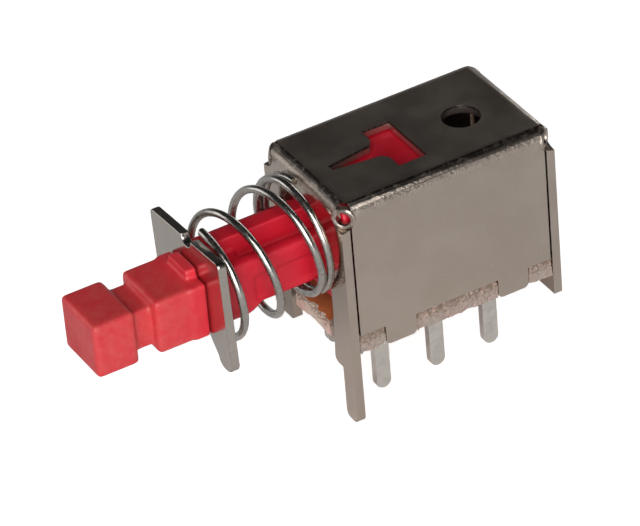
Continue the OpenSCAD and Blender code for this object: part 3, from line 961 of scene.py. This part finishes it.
@dataclass
class CaseShell:
    """The folded sheet case."""

    edge: float = 0.05 * MM
    sheet: float = 0.45 * MM
    inset: float = 1.0 * MM
    wall_tilt: float = 0.3
    relief: float = 0.36 * MM
    relief_in: float = 0.40 * MM
    relief_facets: int = 32
    rim_outer: float = 0.58 * MM
    rim_bore: float = 0.34 * MM
    rim_lip: float = 0.07 * MM
    rim_depth: float = 0.35 * MM
    rim_set: float = 0.40 * MM
    rim_below: float = 0.80 * MM
    rim_facets: int = 40

    def __post_init__(self) -> None:
        """Read the solid's box."""
        self.low, self.high = (Vector(corner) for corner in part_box("case"))

    def _corners(self) -> Iterator[tuple[Vector, Vector]]:
        """Each upper corner of the case, with the level way from it to the middle."""
        for x, side in ((self.low.x, 1), (self.high.x, -1)):
            for y, end in ((self.low.y, 1), (self.high.y, -1)):
                yield Vector((x, y, self.high.z)), Vector((side, end, 0))

    def _punch(self) -> bpy.types.Object:
        """One object with a round punch along the diagonal of each upper corner."""
        punches = bmesh.new()
        for corner, level in self._corners():
            diagonal = level + Vector((0, 0, -1))
            turned = diagonal.normalized().to_track_quat("Z", "X").to_matrix().to_4x4()
            bmesh.ops.create_cone(
                punches,
                cap_ends=True,
                segments=self.relief_facets,
                radius1=self.relief,
                radius2=self.relief,
                depth=3 * self.sheet,
                matrix=Matrix.Translation(corner + self.relief_in * diagonal) @ turned,
            )
        return held_object(punches, "relief_punches")

    def _rims(self, shape: bmesh.types.BMesh) -> None:
        """Add the rolled rim that lines each corner's relief hole.

        Args:
            shape: The case, which the rims are added to.
        """
        outer, bore, lip = self.rim_outer, self.rim_bore, self.rim_lip
        curl = 0.3 * lip
        profile = (
            (bore, self.rim_depth),
            (bore, lip),
            (bore + curl, curl),
            (bore + lip, 0.0),
            (outer - lip, 0.0),
            (outer, lip),
            (outer, self.rim_depth),
        )
        turns = [math.tau * k / self.rim_facets for k in range(self.rim_facets)]
        round_it = [(math.cos(turn), math.sin(turn)) for turn in turns]
        for corner, level in self._corners():
            inward = level.normalized()
            centre = corner - Vector((0, 0, self.rim_below)) + inward * self.rim_set
            turned = inward.to_track_quat("Z", "Y").to_matrix().to_4x4()
            place = Matrix.Translation(centre) @ turned
            rings = [
                [shape.verts.new(place @ Vector((r * x, r * y, deep))) for x, y in round_it]
                for r, deep in profile
            ]
            walls = [
                shape.faces.new((one[k - 1], one[k], other[k], other[k - 1]))
                for one, other in zip(rings, rings[1:] + rings[:1])
                for k in range(self.rim_facets)
            ]
            bmesh.ops.recalc_face_normals(shape, faces=walls)

    def _relieved(self, node: bpy.types.Object) -> bmesh.types.BMesh:
        """The case with each upper corner cut back to its relief hole.

        Args:
            node: The case's solid.

        Returns:
            The cut shape.
        """
        punch = self._punch()
        obj = held_object(merged_copy(node), "case_source")
        cut = obj.modifiers.new("relief", "BOOLEAN")
        cut.operation = "DIFFERENCE"
        cut.solver = "EXACT"
        cut.object = punch
        mesh = plain_mesh(obj, "case_cut")
        bpy.data.objects.remove(punch)
        shape = bmesh.new()
        shape.from_mesh(mesh)
        bpy.data.meshes.remove(mesh)
        bmesh.ops.remove_doubles(shape, verts=shape.verts, dist=MERGE_WITHIN)
        self._rims(shape)
        return shape

    def build(self, nodes: dict[str, bpy.types.Object]) -> None:
        """Make the case with its cut edges eased and painted shade on the walls of its punched
        openings.
        """
        mesh = eased_mesh(self._relieved(nodes["case"]), "case_shell", self.edge)
        add_piece("case_shell", mesh, CASE_STEEL, Body.HOUSING, "case")
        # The walls of the openings in the top get the sheared edge, with painted shade on their
        # lip.
        mesh.materials.append(SHADED_LIP_STEEL.material())
        low, high, inset = self.low, self.high, self.inset
        for face in mesh.polygons:
            inside = (
                face.center.z > high.z - self.sheet
                and low.x + inset < face.center.x < high.x - inset
                and low.y + inset < face.center.y < high.y - inset
            )
            if inside and abs(face.normal.z) < self.wall_tilt:
                face.material_index = 1


def rise(edge: bmesh.types.BMEdge) -> float:
    """How far an edge climbs."""
    return abs(edge.verts[0].co.z - edge.verts[1].co.z)


@dataclass
class BoardAndTerminals:
    """The phenolic board and the six terminals that pass through it."""

    pin_edge: float = 0.05 * MM
    step: float = 0.09 * MM
    chip: float = 0.15 * MM
    fuzz: float = 0.035 * MM
    chips_per_mm: float = 2.6
    fuzz_per_mm: float = 9.0
    chipped_above: float = 0.45
    chipped_below: float = 0.2
    inner_x: float = 2.7 * MM
    least_wall: float = 0.2 * MM * MM
    level_within: float = 0.01 * MM
    upright: float = 0.1

    def _divide(self, shape: bmesh.types.BMesh, tall: float) -> None:
        """Cut the walls round the outside into small squares.

        Args:
            shape: The board.
            tall: Its thickness.
        """
        walls = [
            face
            for face in shape.faces
            if abs(face.normal.z) < self.upright
            and len(face.verts) == 4
            and (abs(face.calc_center_median().x) > self.inner_x or abs(face.normal.y) > 0.9)
            and face.calc_area() > self.least_wall
        ]
        edges = {edge for face in walls for edge in face.edges}
        level = [edge for edge in edges if rise(edge) < self.level_within]
        for count in sorted({round(edge.calc_length() / self.step) for edge in level}):
            alike = [
                edge
                for edge in level
                if edge.is_valid and round(edge.calc_length() / self.step) == count
            ]
            if count > 1:
                bmesh.ops.subdivide_edges(
                    shape, edges=alike, cuts=count - 1, use_grid_fill=True
                )
        upright = [
            edge
            for edge in shape.edges
            if rise(edge) > 0.9 * tall
            and all(abs(face.normal.z) < self.upright for face in edge.link_faces)
        ]
        rows = round(tall / self.step)
        bmesh.ops.subdivide_edges(shape, edges=upright, cuts=rows - 1, use_grid_fill=True)
        shape.normal_update()

    def _torn(self, place: Vector, down: float) -> float:
        """How deep a cut wall is torn.

        Args:
            place: The place on the wall, in millimetres.
            down: How far below the upper face it is, as a share of the thickness.

        Returns:
            The depth in metres.
        """
        upper = max(0.0, 1.0 - down / self.chipped_above)
        lower = max(0.0, 1.0 - (1.0 - down) / self.chipped_below)
        chips = max(0.0, noise.fractal(place * self.chips_per_mm, 0.6, 2.0, 4) + 0.15)
        fuzz = 0.5 + noise.fractal(place * self.fuzz_per_mm, 0.7, 2.0, 3)
        chipped = min(1.0, chips * 1.6) * (0.25 + upper + 0.5 * lower)
        return self.chip * chipped + self.fuzz * fuzz

    def _ragged(self, node: bpy.types.Object) -> bpy.types.Mesh:
        """The board with its outer cut walls torn and crumbled.

        Args:
            node: The board's solid.

        Returns:
            The board's mesh.
        """
        shape = merged_copy(node)
        low, high = (Vector(corner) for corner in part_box("base_board"))
        tall = high.z - low.z
        self._divide(shape, tall)
        for vertex in shape.verts:
            flats = [f.normal for f in vertex.link_faces if abs(f.normal.z) < self.upright]
            if not flats:
                continue
            out = sum(flats, Vector()).normalized()
            in_slot = abs(vertex.co.x) < self.inner_x and abs(out.y) < 0.5
            if not in_slot:
                down = (high.z - vertex.co.z) / tall
                vertex.co -= out * self._torn(vertex.co / MM, down)
        bmesh.ops.recalc_face_normals(shape, faces=shape.faces)
        mesh = bpy.data.meshes.new("punched_board")
        shape.to_mesh(mesh)
        shape.free()
        return mesh

    def build(self, nodes: dict[str, bpy.types.Object]) -> None:
        """Make the board and dress the terminals."""
        board = self._ragged(nodes["base_board"])
        add_piece("punched_board", board, BOARD_PAPER, Body.HOUSING, "base_board")
        for side in ("left", "right"):
            for place in ("front", "middle", "rear"):
                name = f"terminal_{side}_{place}"
                pin = eased_mesh(merged_copy(nodes[name]), name + "_strip", self.pin_edge)
                add_piece(name + "_strip", pin, TERMINAL_PLATE, Body.HOUSING, name)


@dataclass
class Slider:
    """The moulded plunger, its retainer plate and its moving contacts."""

    mould_grain: float = 0.075 * MM
    mould_passes: int = 14
    plate_edge: float = 0.06 * MM
    strip_edge: float = 0.03 * MM

    def build(self, nodes: dict[str, bpy.types.Object]) -> None:
        """Make the pieces that move together."""
        plunger = softened_mesh(
            nodes["plunger"], "moulded_plunger", self.mould_grain, self.mould_passes
        )
        add_piece("moulded_plunger", plunger, RED_ACETAL, Body.SLIDER, "plunger")
        shape = merged_copy(nodes["retainer_plate"])
        plate = eased_mesh(shape, "stamped_retainer", self.plate_edge)
        add_piece("stamped_retainer", plate, RETAINER_STEEL, Body.SLIDER, "retainer_plate")
        for side in ("left", "right"):
            name = f"moving_contact_{side}"
            strip = eased_mesh(merged_copy(nodes[name]), name + "_strip", self.strip_edge)
            add_piece(name + "_strip", strip, CONTACT_SILVER, Body.SLIDER, name)


@dataclass
class ReturnSpring:
    """The coil between the retainer plate and the case. It leans as a loose coil does."""

    wire: float = 0.40 * MM
    radius: float = 2.87 * MM
    front: Triple = (0.35 * MM, -10.621 * MM, 5.99 * MM)
    rear: Triple = (0.0, -5.42 * MM, 6.40 * MM)
    front_turns: float = 0.45
    open_turns: float = 1.85
    rear_turns: float = 1.7
    front_pitch: float = 0.29 * MM
    rear_pitch: float = 0.42 * MM
    skew_x: float = 0.059
    skew_z: float = -0.038
    seat_y: float = -5.2 * MM
    squeezed: float = 0.39

    def open_pitch(self) -> float:
        """Advance of an open turn, so that all the turns fill the room for them."""
        closed = self.front_turns * self.front_pitch + self.rear_turns * self.rear_pitch
        return (self.rear[1] - self.front[1] - closed) / self.open_turns

    def build(self, coils: CoilTree) -> None:
        """Wind the spring so that its turns fill the room between the retainer plate and the
        case.
        """
        mesh = coils.wind(
            "return_coil",
            RETURN_WIRE,
            First_Turns=self.front_turns,
            Open_Turns=self.open_turns,
            Last_Turns=self.rear_turns,
            First_Pitch=self.front_pitch,
            Open_Pitch=self.open_pitch(),
            Last_Pitch=self.rear_pitch,
            Radius=self.radius,
            Wire=self.wire,
            Shift_X=self.rear[0] - self.front[0],
            Shift_Y=self.rear[2] - self.front[2],
            Skew_X=self.skew_x,
            Skew_Y=self.skew_z,
            Place=self.front,
            Turned=(-math.pi / 2, 0.0, 0.0),
        )
        piece = add_piece("return_coil", mesh, RETURN_WIRE, Body.HOUSING, "return_spring")
        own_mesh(piece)


@dataclass
class ContactSprings:
    """The two fine coils that press the moving contacts down."""

    wire: float = 0.2 * MM
    turns: float = 6.0
    steps: int = 32

    def build(self, coils: CoilTree) -> None:
        """Wind both coils in their solids' places."""
        for side in ("left", "right"):
            node = f"contact_spring_{side}"
            low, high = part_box(node)
            centre = (Vector(low) + Vector(high)) / 2
            radius = (high[0] - low[0] - self.wire) / 2
            rise = high[2] - low[2] - self.wire
            mesh = coils.wind(
                f"contact_coil_{side}",
                CONTACT_WIRE,
                First_Turns=0.0,
                Open_Turns=self.turns,
                Last_Turns=0.0,
                Open_Pitch=rise / self.turns,
                Radius=radius,
                Wire=self.wire,
                Steps_Per_Turn=self.steps,
                Place=(centre.x, centre.y, low[2] + self.wire / 2),
            )
            add_piece(f"contact_coil_{side}", mesh, CONTACT_WIRE, Body.SLIDER, node)


# Studio ------------------------------------------------------------------------------


@dataclass(frozen=True)
class Lamp:
    """A square lamp that faces the switch: where it hangs, how wide and how strong it is."""

    name: str
    place: Triple
    size: float
    watts: float


@dataclass
class Studio:
    """Camera, floor, world and lamps."""

    azimuth: float = 62.541
    elevation: float = 35.581
    roll: float = -5.183
    distance: float = 232.76 * MM
    target: Triple = (-0.0765 * MM, -4.536 * MM, 4.176 * MM)
    lens: float = 279.01
    sensor: float = 36.0
    floor_z: float = -2.83 * MM
    floor_half: float = 0.6
    floor_tone: Colour = (0.8, 0.8, 0.8)
    floor_rough: float = 0.9
    floor_white: float = 0.76
    sky: tuple[tuple[float, float], ...] = (
        (0.0, 0.42),
        (0.10, 0.30),
        (0.24, 0.035),
        (1.0, 0.02),
    )
    lamps: tuple[Lamp, ...] = (
        Lamp("key", (0.33, -0.19, 0.20), 0.36, 2.3),
        Lamp("left_fill", (-0.30, -0.30, 0.10), 0.24, 0.24),
        Lamp("rear_fill", (-0.20, 0.38, 0.07), 0.24, 0.55),
    )

    def camera(self) -> None:
        """Place the camera and make it the scene's own."""
        az, el, roll = (math.radians(a) for a in (self.azimuth, self.elevation, self.roll))
        back = Vector(
            (math.sin(az) * math.cos(el), -math.cos(az) * math.cos(el), math.sin(el))
        )
        right = Vector((math.cos(az), math.sin(az), 0.0))
        up = back.cross(right)
        across = math.cos(roll) * right + math.sin(roll) * up
        upright = -math.sin(roll) * right + math.cos(roll) * up
        data = bpy.data.cameras.new("camera")
        data.sensor_width = self.sensor
        data.lens = self.lens
        data.clip_start = 0.01
        data.clip_end = 10.0
        obj = bpy.data.objects.new("camera", data)
        place = Vector(self.target) + back * self.distance
        obj.matrix_world = Matrix.Translation(place) @ Matrix(
            (across, upright, back)
        ).transposed().to_4x4()
        bpy.context.scene.collection.objects.link(obj)
        bpy.context.scene.camera = obj

    def floor(self) -> None:
        """Lay a pale floor that shows white and keeps a soft shadow."""
        half = self.floor_half
        corners = [(-half, -half), (half, -half), (half, half), (-half, half)]
        mesh = bpy.data.meshes.new("floor")
        mesh.from_pydata([(x, y, self.floor_z) for x, y in corners], [], [(0, 1, 2, 3)])
        floor = bpy.data.objects.new("floor", mesh)
        bpy.context.scene.collection.objects.link(floor)
        graph = ShaderGraph("pale_floor")
        graph.constants(
            Base_Color=self.floor_tone, Roughness=self.floor_rough, Specular_IOR_Level=0.0
        )
        graph.glow(self.floor_white)
        mesh.materials.append(graph.material)

    def world(self) -> None:
        """Light the switch from a room that is pale low down and dark overhead."""
        world = bpy.data.worlds.new("room")
        bpy.context.scene.world = world
        world.use_nodes = True
        tree = world.node_tree
        nodes, links = tree.nodes, tree.links
        background = nodes["Background"]
        place = nodes.new("ShaderNodeTexCoord")
        split = nodes.new("ShaderNodeSeparateXYZ")
        ramp = nodes.new("ShaderNodeValToRGB")
        marks = ramp.color_ramp.elements
        while len(marks) < len(self.sky):
            marks.new(0.5)
        for mark, (where, level) in zip(marks, self.sky):
            mark.position = where
            mark.color = (level, level, level, 1.0)
        links.new(place.outputs["Generated"], split.inputs["Vector"])
        links.new(split.outputs["Z"], ramp.inputs["Fac"])
        rays = nodes.new("ShaderNodeLightPath")
        mix = nodes.new("ShaderNodeMix")
        mix.data_type = "RGBA"
        links.new(rays.outputs["Is Camera Ray"], mix.inputs["Factor"])
        links.new(ramp.outputs["Color"], mix.inputs[6])
        mix.inputs[7].default_value = (1.0, 1.0, 1.0, 1.0)
        links.new(mix.outputs[2], background.inputs["Color"])
        background.inputs["Strength"].default_value = 1.0

    def hang(self, lamp: Lamp) -> None:
        """Add a lamp and aim it at the switch."""
        data = bpy.data.lights.new(lamp.name, "AREA")
        data.shape = "SQUARE"
        data.size = lamp.size
        data.energy = lamp.watts
        obj = bpy.data.objects.new(lamp.name, data)
        obj.location = lamp.place
        aim = Vector(self.target) - Vector(lamp.place)
        obj.rotation_euler = aim.to_track_quat("-Z", "Y").to_euler()
        bpy.context.scene.collection.objects.link(obj)

    def build(self) -> None:
        """Set up everything round the switch."""
        bpy.context.scene.view_settings.view_transform = "Standard"
        self.camera()
        self.floor()
        self.world()
        for lamp in self.lamps:
            self.hang(lamp)


def main() -> None:
    """Build the studio and the switch."""
    logging.basicConfig(level=logging.INFO, format="%(name)s: %(message)s")
    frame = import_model()
    nodes = frame["nodes"]
    Studio().build()
    coils = CoilTree()
    CaseShell().build(nodes)
    BoardAndTerminals().build(nodes)
    Slider().build(nodes)
    ReturnSpring().build(coils)
    ContactSprings().build(coils)


if __name__ == "__main__":
    main()
